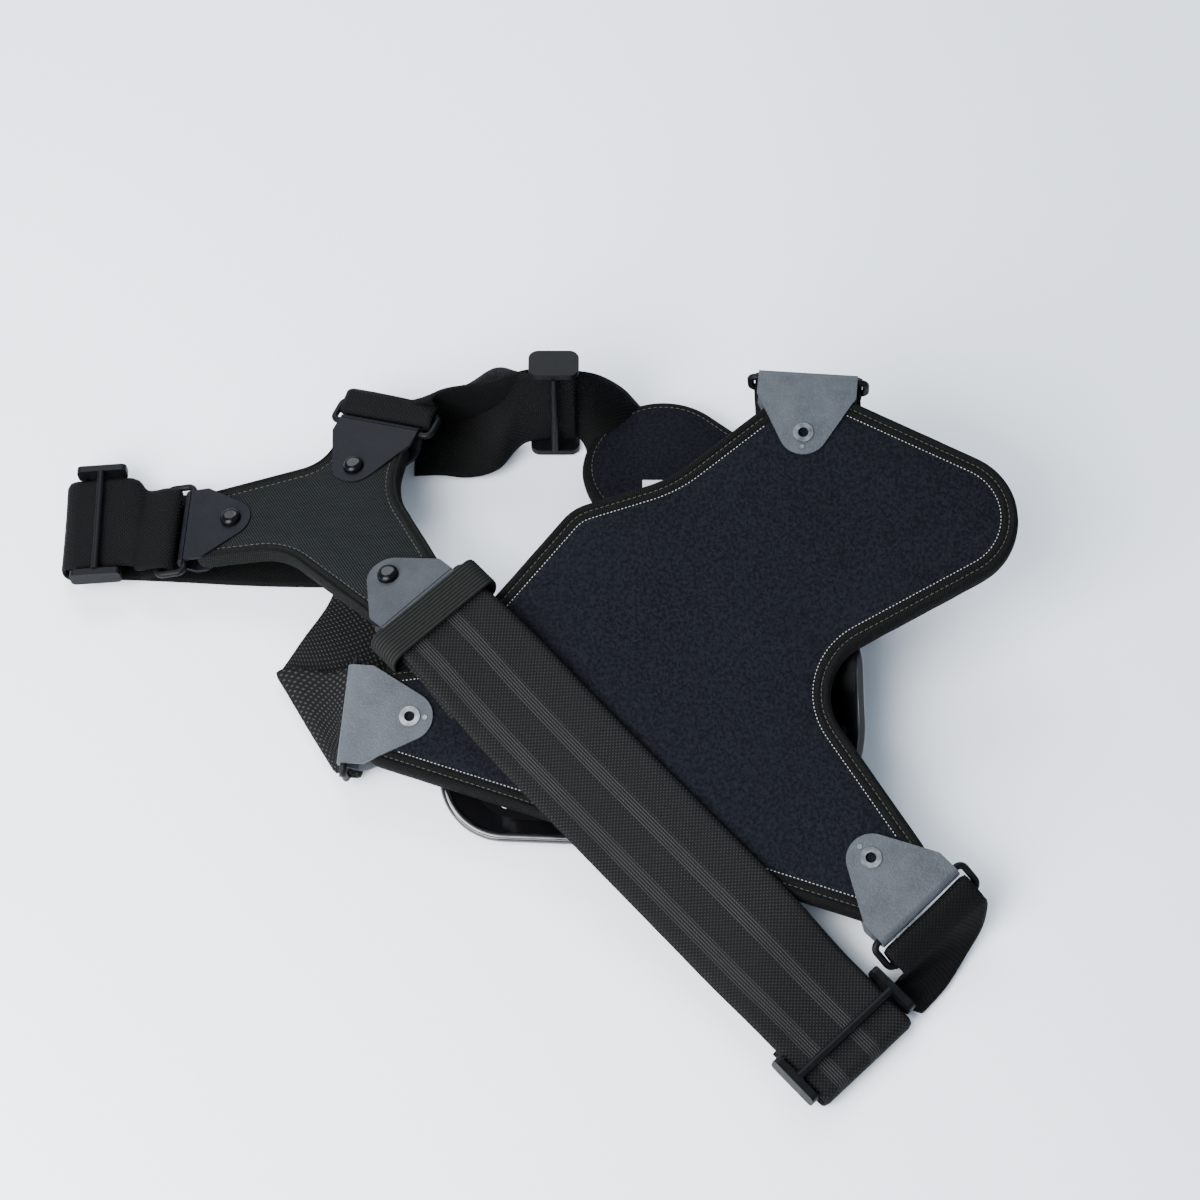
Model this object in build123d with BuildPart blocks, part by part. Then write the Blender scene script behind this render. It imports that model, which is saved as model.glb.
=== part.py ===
"""Padded chest harness: a lobed body panel on a moulded shell, a three-armed yoke,
a shoulder pad, webbing straps, wire rings, sliders and a keeper. Millimetres, +Z up.
The harness lies folded on a flat surface at z = 0, body side of the panel up."""

import os
from math import cos, radians, sin

from build123d import *

# ---- driving dimensions ------------------------------------------------------
webbing_width = 50.0
webbing_thickness = 2.0
front_strap_width = webbing_width + 3.0

wire_radius = 1.6
ring_outer_width = webbing_width + 7.0
ring_bar_spacing = 13.0
ring_corner_radius = 3.2

panel_pitch = 13.0          # the far side of the panel is raised
panel_roll = -5.0           # and so is its right side
panel_liner_thickness = 3.0
panel_core_thickness = 6.0
panel_backing_thickness = 1.5
panel_binding_width = 4.0

yoke_pitch = -7.0
yoke_roll = -11.4
yoke_face_thickness = 2.4
yoke_core_thickness = 4.0
yoke_liner_thickness = 1.6
yoke_binding_width = 2.6

tab_width = webbing_width - 4.0
tab_tip_radius = 11.5
tab_tip_length = 10.5       # from the rivet to the tip
tab_reach = 28.0            # from the rivet to the bar of the ring
tab_edge_room = 6.0         # from the bar back to where the tab meets the padded edge
tab_thickness = 1.5
tab_straight = 9.0          # parallel stretch of the tab beside its fold
yoke_tab_width = webbing_width - 7.0
yoke_tab_tip_length = 9.5

rivet_flange_radius = 4.7
rivet_flange_height = 0.7
rivet_barrel_radius = 3.1
rivet_bore_radius = 2.4
pin_radius = 1.1
pin_head_height = 0.4
pin_offset = 7.0            # from the rivet towards the tip

snap_cap_radius = 5.0
snap_cap_height = 3.2
snap_shank_radius = 1.8
snap_socket_radius = 4.0
snap_socket_height = 1.8
snap_stud_radius = 1.4
snap_base_height = 0.5

shell_wall = 2.5
shell_rim_gap = 1.8         # between the panel backing and the rim of the shell
post_radius = 7.0
screw_radius = 2.5
screw_head_radius = 4.6
screw_head_height = 2.6
screw_seat_depth = 4.0      # from the panel backing to the seat of the screw head
tee_nut_flange_radius = 8.0
tee_nut_flange_height = 1.0
tee_nut_barrel_radius = 3.6

slider_outer_width = front_strap_width + 10.0
slider_length = 24.0
slider_cheek_width = 3.4
slider_bar_radius = 1.7
slider_bar_spread = 9.0     # from the middle bar to each outer bar

keeper_length = 16.0
keeper_wall = 1.5
keeper_inner_height = 13.0

pad_length = 118.0
pad_width = 78.0
pad_face_thickness = 3.0
pad_core_thickness = 7.0
pad_backing_thickness = 2.0
pad_lift = 2.5              # the pad lies on the strap that is sewn under it

fit_gap = 0.3               # between pieces of different bodies
wrap_gap = 0.12             # between a tab's fold and the bar that turns in it
loop_slack = 0.8            # between a webbing loop and the bar in it
hole_gap = 0.1              # round a rivet, shank or screw

# The origin is on the surface under the middle of the whole harness.
centre_x = -34.11
centre_y = -67.16

os.makedirs("parts", exist_ok=True)


def at(x, y, z):
    """A place measured from the layout's own zero, in the harness frame."""
    return Vector(x - centre_x, y - centre_y, z)


# ---- frames ------------------------------------------------------------------
panel_plane = Plane(origin=at(40, -61, 42)).rotated((panel_pitch, panel_roll, 0))
yoke_plane = Plane(origin=at(-135, 35, 28)).rotated((yoke_pitch, yoke_roll, 0))
pad_plane = Plane(origin=at(47, 56, pad_lift)).rotated((0, 0, -40))
panel_thickness = panel_liner_thickness + panel_core_thickness + panel_backing_thickness
yoke_thickness = yoke_face_thickness + yoke_core_thickness + yoke_liner_thickness
pad_thickness = pad_face_thickness + pad_core_thickness + pad_backing_thickness

# Outlines: each corner with its fillet radius, anticlockwise.
panel_corners = [
    ((54, 139), 34),     # top lobe
    ((-8, 91), 60),
    ((-53, 78), 22),
    ((-114, 6), 18),
    ((-145, 3), 13),     # left lobe
    ((-149, -39), 13),
    ((79, -118), 12),    # lower lobe
    ((106, -92), 12),
    ((51, -5), 28),
    ((187, 67), 33),     # right lobe
]
yoke_corners = [
    ((-58, 18), 6),      # left arm
    ((-58, -24), 6),
    ((-15, -25), 30),
    ((35, -76), 6),      # lower arm
    ((65, -49), 6),
    ((38, 5), 40),
    ((44, 34), 6),       # upper arm
    ((9, 48), 6),
    ((2, 28), 18),
]
shell_rim_corners = [
    ((-113, -8), 20),
    ((-113, -73), 30),
    ((77, -84), 55),
    ((77, 34), 32),
    ((-85, 34), 30),
]
shell_floor_corners = [
    ((-60, -70), 16),
    ((-60, -119), 24),
    ((108, -130), 48),
    ((104, -42), 28),
    ((-34, -40), 26),
]


def closed_outline(corners):
    """Draws a filleted closed outline in the line that is being built."""
    points = [corner for corner, radius in corners]
    radii = [radius for corner, radius in corners]
    FilletPolyline(*points, radius=radii, close=True)


def layer(plane, corners, inset, bottom, thickness):
    """A flat layer of an outline moved in by inset, at a height over plane."""
    with BuildPart() as piece:
        with BuildSketch(plane.offset(bottom)):
            with BuildLine():
                closed_outline(corners)
            make_face()
            if inset:
                offset(amount=-inset, mode=Mode.REPLACE)
        extrude(amount=thickness)
    return piece


def edge_binding(plane, corners, width, thickness):
    """The band sewn round the edge of an outline."""
    with BuildPart() as piece:
        with BuildSketch(plane.offset(-thickness)):
            with BuildLine():
                closed_outline(corners)
            make_face()
        extrude(amount=thickness)
        with BuildSketch(plane.offset(-thickness)):
            with BuildLine():
                closed_outline(corners)
            make_face()
            offset(amount=-width, mode=Mode.REPLACE)
        extrude(amount=thickness, mode=Mode.SUBTRACT)
    return piece


def drill(piece, plane, radius, bottom, top):
    """Cuts a round hole along the normal of plane between two heights."""
    with piece:
        with BuildSketch(plane.offset(bottom)) as hole:
            Circle(radius)
        extrude(hole.sketch, amount=top - bottom, mode=Mode.SUBTRACT)


def frame_on(plane, x, y, turn):
    """A plane on another, moved in it and turned about its normal."""
    return Plane(plane.location * Location((x, y, 0), (0, 0, turn)))


# ---- tabs --------------------------------------------------------------------
# Each tab has its own frame: the origin on the padded face at the rivet or snap,
# +y towards the ring. The drop is how far the ring hangs down from that +y.
panel_tabs = {
    "top": {"frame": frame_on(panel_plane, 54, 110.6, -6), "reach": tab_reach, "drop": 88},
    "left": {"frame": frame_on(panel_plane, -126, -21, 85), "reach": tab_reach, "drop": 88},
    "lower": {"frame": frame_on(panel_plane, 78, -90, -137), "reach": tab_reach, "drop": 30},
}
yoke_tabs = {
    "left": {"frame": frame_on(yoke_plane, -41, -2, 90), "reach": 22, "drop": 0},
    "upper": {"frame": frame_on(yoke_plane, 18, 21, -23), "reach": 28, "drop": 0},
    "lower": {"frame": frame_on(yoke_plane, 39, -50, -137), "reach": 21, "drop": 12},
}
wrap_radius = wire_radius + wrap_gap + tab_thickness / 2
bar_height = tab_thickness / 2 - wrap_radius


def folded_tab(tab, width, tip, padding, edge_room, whole=True):
    """A tab folded round a ring bar, over and under the padded edge."""
    frame = tab["frame"]
    reach = tab["reach"]
    side = Plane(origin=frame.origin, x_dir=frame.y_dir, z_dir=frame.x_dir)
    lower_leaf = -padding - tab_thickness / 2
    with BuildPart() as piece:
        with BuildSketch(side):
            with BuildLine():
                FilletPolyline(
                    (-tip, tab_thickness / 2),
                    (reach + wrap_radius, tab_thickness / 2),
                    (reach + wrap_radius, bar_height - wrap_radius),
                    (reach - edge_room + 1.2, lower_leaf),
                    (-tip, lower_leaf),
                    radius=(wrap_radius * 0.98, wrap_radius * 0.8, 1.5),
                )
            trace(line_width=tab_thickness)
        extrude(amount=width / 2, both=True)
        with BuildSketch(frame.offset(-2 * padding)):
            with Locations((0, tab_tip_radius - tip)):
                Circle(tab_tip_radius)
            with Locations((0, reach - tab_straight / 2)):
                Rectangle(width, tab_straight)
            make_hull()
            with Locations((0, reach + wrap_radius)):
                Rectangle(width, 4 * wrap_radius)
        extrude(amount=3 * padding, mode=Mode.INTERSECT)
        if not whole:
            with BuildSketch(frame.offset(-fit_gap)):
                with Locations((0, reach / 2 - tip)):
                    Rectangle(width + 2, reach + 2 * tip + fit_gap)
            extrude(amount=2 * tab_thickness, mode=Mode.SUBTRACT)
    return piece


def top_leaf(tab, width, tip):
    """The upper leaf alone, which lifts about the line over the ring bar."""
    frame = tab["frame"]
    reach = tab["reach"]
    with BuildPart() as piece:
        with BuildSketch(frame):
            with Locations((0, tab_tip_radius - tip)):
                Circle(tab_tip_radius)
            with Locations((0, reach - tab_straight / 2)):
                Rectangle(width, tab_straight)
            make_hull()
            with Locations((0, reach)):
                Rectangle(width + 2, 2 * fit_gap, mode=Mode.SUBTRACT)
        extrude(amount=tab_thickness)
    return piece


def ring_frame(tab):
    """The frame of a ring: origin on the bar in the fold, +y to the other bar."""
    turn = Location((0, tab["reach"], bar_height), (-tab["drop"], 0, 0))
    return Plane(tab["frame"].location * turn)


def wire_ring(tab):
    """A closed wire ring with rounded corners."""
    frame = ring_frame(tab)
    half = ring_outer_width / 2 - wire_radius
    with BuildPart() as piece:
        with BuildLine(frame) as path:
            FilletPolyline(
                (-half, 0),
                (half, 0),
                (half, ring_bar_spacing),
                (-half, ring_bar_spacing),
                radius=ring_corner_radius,
                close=True,
            )
        with BuildSketch(Plane(origin=path.wire() @ 0, z_dir=path.wire() % 0)):
            Circle(wire_radius)
        sweep(path=path.wire())
    return piece


# ---- panel -------------------------------------------------------------------
panel_core_top = -panel_liner_thickness
panel_core_bottom = panel_core_top - panel_core_thickness
post_places = [(-80, -34), (-45, -2), (30, -12), (20, -55)]
post_frames = [frame_on(panel_plane, x, y, 0) for x, y in post_places]

panel_liner = layer(
    panel_plane, panel_corners, panel_binding_width, panel_core_top, panel_liner_thickness
)
panel_core = layer(
    panel_plane, panel_corners, panel_binding_width, panel_core_bottom, panel_core_thickness
)
panel_backing = layer(
    panel_plane, panel_corners, panel_binding_width, -panel_thickness, panel_backing_thickness
)
panel_binding = edge_binding(
    panel_plane, panel_corners, panel_binding_width, panel_thickness
)
for tab in panel_tabs.values():
    for piece in (panel_liner, panel_core, panel_backing):
        drill(piece, tab["frame"], rivet_barrel_radius + hole_gap, -panel_thickness, 0)
    pin_frame = frame_on(tab["frame"], 0, -pin_offset, 0)
    drill(panel_liner, pin_frame, pin_radius, -panel_liner_thickness, 0)
for frame in post_frames:
    drill(
        panel_core,
        frame,
        tee_nut_flange_radius + hole_gap,
        panel_core_bottom,
        panel_core_bottom + tee_nut_flange_height + hole_gap,
    )
    drill(panel_core, frame, screw_radius + hole_gap, panel_core_bottom, panel_core_top - 1)
    drill(
        panel_backing, frame, tee_nut_barrel_radius + hole_gap, -panel_thickness, panel_core_bottom
    )

panel_liner.part.label = "panel_liner"
export_step(panel_liner.part, "parts/panel_liner.step")
panel_core.part.label = "panel_core"
export_step(panel_core.part, "parts/panel_core.step")
panel_backing.part.label = "panel_backing"
export_step(panel_backing.part, "parts/panel_backing.step")
panel_binding.part.label = "panel_binding"
export_step(panel_binding.part, "parts/panel_binding.step")

# ---- panel tabs, hollow rivets, pins and rings --------------------------------
for name, tab in panel_tabs.items():
    piece = folded_tab(tab, tab_width, tab_tip_length, panel_thickness, tab_edge_room)
    depth = panel_thickness + tab_thickness
    drill(piece, tab["frame"], rivet_barrel_radius + hole_gap, -depth, tab_thickness)
    drill(piece, frame_on(tab["frame"], 0, -pin_offset, 0), pin_radius, 0, tab_thickness)
    piece.part.label = "panel_tab_" + name
    export_step(piece.part, "parts/panel_tab_" + name + ".step")
    ring = wire_ring(tab)
    ring.part.label = "panel_ring_" + name
    export_step(ring.part, "parts/panel_ring_" + name + ".step")

with BuildPart() as hollow_rivets:
    for tab in panel_tabs.values():
        low = -panel_thickness - tab_thickness
        with BuildSketch(tab["frame"].offset(low - rivet_flange_height)):
            Circle(rivet_flange_radius)
        extrude(amount=rivet_flange_height)
        with BuildSketch(tab["frame"].offset(low)):
            Circle(rivet_barrel_radius)
        extrude(amount=tab_thickness - low)
        with BuildSketch(tab["frame"].offset(tab_thickness)):
            Circle(rivet_flange_radius)
        extrude(amount=rivet_flange_height)
        with BuildSketch(tab["frame"].offset(low - rivet_flange_height)):
            Circle(rivet_bore_radius)
        extrude(amount=tab_thickness - low + 2 * rivet_flange_height, mode=Mode.SUBTRACT)
hollow_rivets.part.label = "hollow_rivets"
export_step(hollow_rivets.part, "parts/hollow_rivets.step")

with BuildPart() as tab_pins:
    for tab in panel_tabs.values():
        pin_frame = frame_on(tab["frame"], 0, -pin_offset, 0)
        with BuildSketch(pin_frame.offset(-panel_liner_thickness)):
            Circle(pin_radius)
        extrude(amount=panel_liner_thickness + tab_thickness + pin_head_height)
tab_pins.part.label = "tab_pins"
export_step(tab_pins.part, "parts/tab_pins.step")

# ---- moulded shell with its posts, screws, tee nuts and rivets -----------------
rim_height = -panel_thickness - shell_rim_gap


def dish(inset, floor_height):
    """The shell's outer or inner form, from the tilted rim to the flat floor."""
    with BuildPart() as piece:
        with BuildSketch(Plane(origin=at(0, 0, floor_height))):
            with BuildLine():
                closed_outline(shell_floor_corners)
            make_face()
            if inset:
                offset(amount=-inset, mode=Mode.REPLACE)
        with BuildSketch(panel_plane.offset(rim_height)):
            with BuildLine():
                closed_outline(shell_rim_corners)
            make_face()
            if inset:
                offset(amount=-inset, mode=Mode.REPLACE)
        loft(ruled=True)
    return piece


shell_inside = dish(shell_wall, shell_wall)
carry_shell = dish(0, 0)
with carry_shell:
    add(shell_inside.part, mode=Mode.SUBTRACT)
    for frame in post_frames:
        with BuildSketch(frame.offset(-panel_thickness)) as post:
            Circle(post_radius)
        extrude(post.sketch, amount=-60)
    split(bisect_by=Plane.XY, keep=Keep.TOP)
seat_height = -panel_thickness - screw_seat_depth
for frame in post_frames:
    drill(carry_shell, frame, screw_radius + hole_gap, seat_height - 1, -panel_thickness)
    drill(carry_shell, frame, screw_head_radius + fit_gap, seat_height - 60, seat_height)

rivet_places = [at(-42, -109, 0), at(70, -118, 0), at(84, -66, 0), at(-30, -58, 0)]
for place in rivet_places:
    drill(carry_shell, Plane(origin=place), 2.0, 0, shell_wall)
carry_shell.part.label = "carry_shell"
export_step(carry_shell.part, "parts/carry_shell.step")

with BuildPart() as shell_rivets:
    for place in rivet_places:
        with BuildSketch(Plane(origin=place + Vector(0, 0, 0.3))):
            Circle(2.0)
        extrude(amount=shell_wall - 0.3)
        with BuildSketch(Plane(origin=place + Vector(0, 0, shell_wall))):
            Circle(3.6)
        extrude(amount=1.2, taper=35)
shell_rivets.part.label = "shell_rivets"
export_step(shell_rivets.part, "parts/shell_rivets.step")

with BuildPart() as shell_screws:
    for frame in post_frames:
        with BuildSketch(frame.offset(seat_height - screw_head_height)):
            Circle(screw_head_radius)
        extrude(amount=screw_head_height)
        with BuildSketch(frame.offset(seat_height)):
            Circle(screw_radius)
        extrude(amount=panel_core_bottom + tee_nut_flange_height + 1 - seat_height)
shell_screws.part.label = "shell_screws"
export_step(shell_screws.part, "parts/shell_screws.step")

with BuildPart() as tee_nuts:
    for frame in post_frames:
        with BuildSketch(frame.offset(-panel_thickness)):
            Circle(tee_nut_barrel_radius)
            Circle(screw_radius + 0.05, mode=Mode.SUBTRACT)
        extrude(amount=panel_backing_thickness)
        with BuildSketch(frame.offset(panel_core_bottom)):
            Circle(tee_nut_flange_radius)
            Circle(screw_radius + 0.05, mode=Mode.SUBTRACT)
        extrude(amount=tee_nut_flange_height)
tee_nuts.part.label = "tee_nuts"
export_step(tee_nuts.part, "parts/tee_nuts.step")

# ---- yoke --------------------------------------------------------------------
yoke_face = layer(
    yoke_plane, yoke_corners, yoke_binding_width, -yoke_face_thickness, yoke_face_thickness
)
yoke_core = layer(
    yoke_plane,
    yoke_corners,
    yoke_binding_width,
    -yoke_face_thickness - yoke_core_thickness,
    yoke_core_thickness,
)
yoke_liner = layer(
    yoke_plane, yoke_corners, yoke_binding_width, -yoke_thickness, yoke_liner_thickness
)
yoke_binding = edge_binding(yoke_plane, yoke_corners, yoke_binding_width, yoke_thickness)
for tab in yoke_tabs.values():
    drill(
        yoke_face, tab["frame"], snap_socket_radius + 2 * fit_gap, -yoke_face_thickness, 0
    )

yoke_face.part.label = "yoke_face"
export_step(yoke_face.part, "parts/yoke_face.step")
yoke_core.part.label = "yoke_core"
export_step(yoke_core.part, "parts/yoke_core.step")
yoke_liner.part.label = "yoke_liner"
export_step(yoke_liner.part, "parts/yoke_liner.step")
yoke_binding.part.label = "yoke_binding"
export_step(yoke_binding.part, "parts/yoke_binding.step")

# ---- yoke tabs with their snaps and rings --------------------------------------
for name, tab in yoke_tabs.items():
    frame = tab["frame"]
    wrap = folded_tab(
        tab, yoke_tab_width, yoke_tab_tip_length, yoke_thickness, tab_edge_room - 1, whole=False
    )
    wrap.part.label = "yoke_tab_" + name
    export_step(wrap.part, "parts/yoke_tab_" + name + ".step")

    flap = top_leaf(tab, yoke_tab_width, yoke_tab_tip_length)
    drill(flap, frame, snap_shank_radius, 0, tab_thickness)
    flap.part.label = "snap_flap_" + name
    export_step(flap.part, "parts/snap_flap_" + name + ".step")

    with BuildPart() as cap:
        with BuildSketch(frame.offset(-snap_socket_height / 3)):
            Circle(snap_shank_radius)
        extrude(amount=snap_socket_height / 3 + tab_thickness)
        with BuildSketch(frame.offset(tab_thickness)):
            Circle(snap_cap_radius)
        extrude(amount=snap_cap_height)
        fillet(cap.edges().sort_by(Axis(frame.origin, frame.z_dir))[-1], snap_cap_height * 0.8)
    cap.part.label = "snap_cap_" + name
    export_step(cap.part, "parts/snap_cap_" + name + ".step")

    with BuildPart() as socket:
        with BuildSketch(frame.offset(-snap_socket_height)):
            Circle(snap_socket_radius)
            Circle(snap_stud_radius + fit_gap, mode=Mode.SUBTRACT)
        extrude(amount=snap_socket_height * 2 / 3)
        with BuildSketch(frame.offset(-snap_socket_height / 3)):
            Circle(snap_socket_radius)
            Circle(snap_shank_radius, mode=Mode.SUBTRACT)
        extrude(amount=snap_socket_height / 3)
    socket.part.label = "snap_socket_" + name
    export_step(socket.part, "parts/snap_socket_" + name + ".step")

    ring = wire_ring(tab)
    ring.part.label = "yoke_ring_" + name
    export_step(ring.part, "parts/yoke_ring_" + name + ".step")

with BuildPart() as snap_studs:
    for tab in yoke_tabs.values():
        with BuildSketch(tab["frame"].offset(-yoke_face_thickness)):
            Circle(snap_socket_radius)
        extrude(amount=snap_base_height)
        with BuildSketch(tab["frame"].offset(-yoke_face_thickness + snap_base_height)):
            Circle(snap_stud_radius)
        extrude(amount=yoke_face_thickness - snap_base_height - 0.8)
snap_studs.part.label = "snap_studs"
export_step(snap_studs.part, "parts/snap_studs.step")

# ---- straps ------------------------------------------------------------------
loop_radius = wire_radius + loop_slack + webbing_thickness / 2


def ribbon(stations):
    """A strap through stations: centre, width direction and width at each."""
    centres = [Vector(*centre) for centre, across, width in stations]
    last = len(stations) - 1
    with BuildPart() as piece:
        for i, (centre, across, width) in enumerate(stations):
            run = centres[min(i + 1, last)] - centres[max(i - 1, 0)]
            with BuildSketch(Plane(origin=centres[i], x_dir=Vector(*across), z_dir=run)):
                Rectangle(width, webbing_thickness)
        loft(ruled=True)
    return piece


def loop_round(bar, across, away, width, reach=loop_radius):
    """Stations of a strap that comes in under a bar, turns round it and leaves over it."""
    up = across.cross(away).normalized()
    if up.Z < 0:
        up = -up
    out = away.normalized()
    turns = [(bar + out * reach - up * loop_radius, across, width)]
    for degrees in range(0, 181, 30):
        angle = radians(degrees)
        place = bar - up * (loop_radius * cos(angle)) - out * (loop_radius * sin(angle))
        turns.append((place, across, width))
    turns.append((bar + out * reach + up * loop_radius, across, width))
    return turns


def far_bar(tab):
    """Middle, direction and way out of the ring bar that carries a strap."""
    frame = ring_frame(tab)
    return frame.origin + frame.y_dir * ring_bar_spacing, frame.x_dir, frame.y_dir


# Front strap: from the yoke's lower ring over the panel, through the front slider,
# then folded back under itself.
front_bar, front_across, front_out = far_bar(yoke_tabs["lower"])
front_angle = radians(-46.5)
front_way = Vector(cos(front_angle), sin(front_angle), 0)
front_side = Vector(-sin(front_angle), cos(front_angle), 0)
front_zero = Vector(front_bar.X, front_bar.Y, 0)
front_turn_run = 268.0
front_turn_height = 5.4
front_turn_radius = 4.0
front_drop = 0.111


def on_front(run, height, slope, width):
    """A station of the front strap: distance along it, height, side slope, width."""
    return (front_zero + front_way * run + Vector(0, 0, height), front_side + Vector(0, 0, slope), width)


def beside_front(run, side):
    """A place beside the front strap's centre line, seen from above."""
    place = front_zero + front_way * run + front_side * side
    return (place.X, place.Y)


front_stations = [on_front(38, front_bar.Z - 8.2, 0.2, front_strap_width)]
front_stations += [on_front(22, front_bar.Z - 5.0, 0.12, webbing_width + 1)]
front_stations += loop_round(front_bar, -front_across, front_out, webbing_width)
front_stations += [
    on_front(22, front_bar.Z + 0.2, 0.12, webbing_width + 1),
    on_front(48, front_bar.Z - 6.6, 0.21, front_strap_width),
    on_front(75, 33.4, 0.224, front_strap_width),
    on_front(110, 28.8, 0.224, front_strap_width),
    on_front(150, 24.2, 0.224, front_strap_width),
    on_front(180, 20.9, 0.224, front_strap_width),
    on_front(204, 17.9, 0.2, front_strap_width),
    on_front(229, 13.9, 0.01, front_strap_width),
    on_front(233, 9.4 + front_drop * 35, 0.0, front_strap_width),
]
for degrees in range(90, -91, -30):
    angle = radians(degrees)
    front_stations.append(
        on_front(
            front_turn_run + front_turn_radius * cos(angle),
            front_turn_height + front_turn_radius * sin(angle),
            0,
            front_strap_width,
        )
    )
front_stations.append(on_front(232, 1.2, 0.0, front_strap_width))
front_strap = ribbon(front_stations)
front_strap.part.label = "front_strap"
export_step(front_strap.part, "parts/front_strap.step")

# Link strap: from the panel's lower ring down to the folded end of the front strap.
link_bar, link_across, link_out = far_bar(panel_tabs["lower"])
link_down = (link_out + Vector(0, 0, -0.35)).normalized()
link_stations = loop_round(link_bar, link_across, link_down, webbing_width - 0.8)[1:]
link_stations += [
    (link_bar + link_down * 10 + Vector(0, 0, 1), link_across, webbing_width),
    (at(154, -184, 5.2), (-0.75, -0.66, -0.06), webbing_width),
    (at(155.4, -185.4, 1.6), (-0.75, -0.66, 0), webbing_width),
]
link_fall = ribbon(link_stations)
with BuildPart() as link_strap:
    add(link_fall.part)
    with BuildSketch(Plane(origin=at(0, 0, 0.2))) as link_floor:
        with BuildLine():
            Polyline(
                beside_front(245, front_strap_width / 2 + 1),
                beside_front(270, front_strap_width / 2 + 1),
                (141, -203),
                (175, -171),
                (170, -164),
                (130, -188),
                close=True,
            )
        make_face()
    extrude(amount=webbing_thickness)
link_strap.part.label = "link_strap"
export_step(link_strap.part, "parts/link_strap.step")

# Left strap: from the yoke's left ring through the left slider, round, back under the
# yoke on the surface, then folded twice to reach the panel's left ring.
left_bar, left_across, left_out = far_bar(yoke_tabs["left"])
left_side = Vector(-0.05, 1, 0)
left_slider_frame = Plane(origin=at(-240, 35.5, 12.4), x_dir=left_side, z_dir=(-0.047, 0, 1))
left_turn_radius = 5.4
left_turn = at(-251, 35, 1.2 + left_turn_radius)
left_stations = loop_round(left_bar, left_across, left_out, webbing_width, 9)
left_stations += [
    (left_slider_frame.origin - left_slider_frame.y_dir * 15, left_side, webbing_width),
    (left_slider_frame.origin + left_slider_frame.y_dir * 10, left_side, webbing_width),
]
for degrees in range(90, 271, 30):
    angle = radians(degrees)
    swing = Vector(left_turn_radius * cos(angle), 0, left_turn_radius * sin(angle))
    left_stations.append((left_turn + swing, left_side, webbing_width))
left_stations += [
    (at(-235, 36, 1.2), left_side, webbing_width),
    (at(-170, 33, 1.2), Vector(0, 1, 0), webbing_width),
    (at(-112, 31, 1.2), Vector(0, 1, 0), webbing_width),
]
left_strap = ribbon(left_stations)
left_strap.part.label = "left_strap"
export_step(left_strap.part, "parts/left_strap.step")


def flat_run(points, bottom, thickness):
    """A flat stretch of webbing lying level."""
    with BuildPart() as piece:
        with BuildSketch(Plane(origin=at(0, 0, bottom))):
            with BuildLine():
                Polyline(*points, close=True)
            make_face()
        extrude(amount=thickness)
    return piece


# Cross strap: the stretch folded down from under the yoke, then across to the panel.
cross_bar, cross_across, cross_out = far_bar(panel_tabs["left"])
cross_low = flat_run(
    [(-149, -41), (-118, -94), (-101, -66), (-97, -20), (-100, 14), (-114, 18), (-124, 4)],
    2.6,
    webbing_thickness,
)
cross_stations = [
    (at(-126, -70.2, 6.2), (0, -1, 0), webbing_width),
    (at(-122, -70.5, 8), (0, -1, -0.03), webbing_width),
    (at(-118.5, -71, 11.5), (0.05, -0.98, -0.15), webbing_width),
]
cross_away = Vector(-1, 0.1, 0.1)
cross_stations += loop_round(cross_bar, -cross_across, cross_away, webbing_width)[::-1][:-1]
cross_top = ribbon(cross_stations)
cross_fold = flat_run([(-149, -41), (-124, -45.3), (-124, -85.3)], 5.2, webbing_thickness)
with BuildPart() as cross_strap:
    add(cross_low.part)
    add(cross_fold.part)
    add(cross_top.part)
    with BuildSketch(Plane(origin=at(-133.5, -67.5, 2.6), x_dir=(31, -53, 0), z_dir=(0, 0, 1))):
        Rectangle(60, 1.6)
    extrude(amount=4.4)
cross_strap.part.label = "cross_strap"
export_step(cross_strap.part, "parts/cross_strap.step")

# Upper strap: both layers of the sling from the yoke's upper ring to the slider.
upper_bar, upper_across, upper_out = far_bar(yoke_tabs["upper"])
upper_loop = ribbon(loop_round(upper_bar, upper_across, upper_out, webbing_width, 11))
upper_lower_layer = ribbon(
    [
        (at(-12, 89.6, 32), (0, -0.02, -1), webbing_width),
        (at(-40, 89.6, 32), (0, -0.02, -1), webbing_width),
        (at(-52, 90.5, 21), (0, -0.75, -0.66), webbing_width),
        (at(-66, 93, 8), (0, -0.99, -0.1), webbing_width),
        (at(-86, 96, 4.5), (0, -1, 0), webbing_width),
    ]
)
with BuildPart() as upper_wall:
    with BuildSketch(Plane(origin=at(0, 0, 0))):
        with BuildLine():
            FilletPolyline((-114, 109), (-76, 96), (-13, 94.8), radius=14)
        trace(line_width=webbing_thickness)
    extrude(amount=60)
    with BuildSketch(Plane(origin=at(0, 0, 0), x_dir=(1, 0, 0), z_dir=(0, -1, 0))):
        with BuildLine():
            Polyline((-119, 4), (-119, 24), (-112, 33), (-88, 53), (-12, 57), (-12, 7), close=True)
        make_face()
    extrude(amount=-200, mode=Mode.INTERSECT)
with BuildPart() as upper_strap:
    add(upper_loop.part)
    add(upper_lower_layer.part)
    add(upper_wall.part)
upper_strap.part.label = "upper_strap"
export_step(upper_strap.part, "parts/upper_strap.step")

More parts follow.
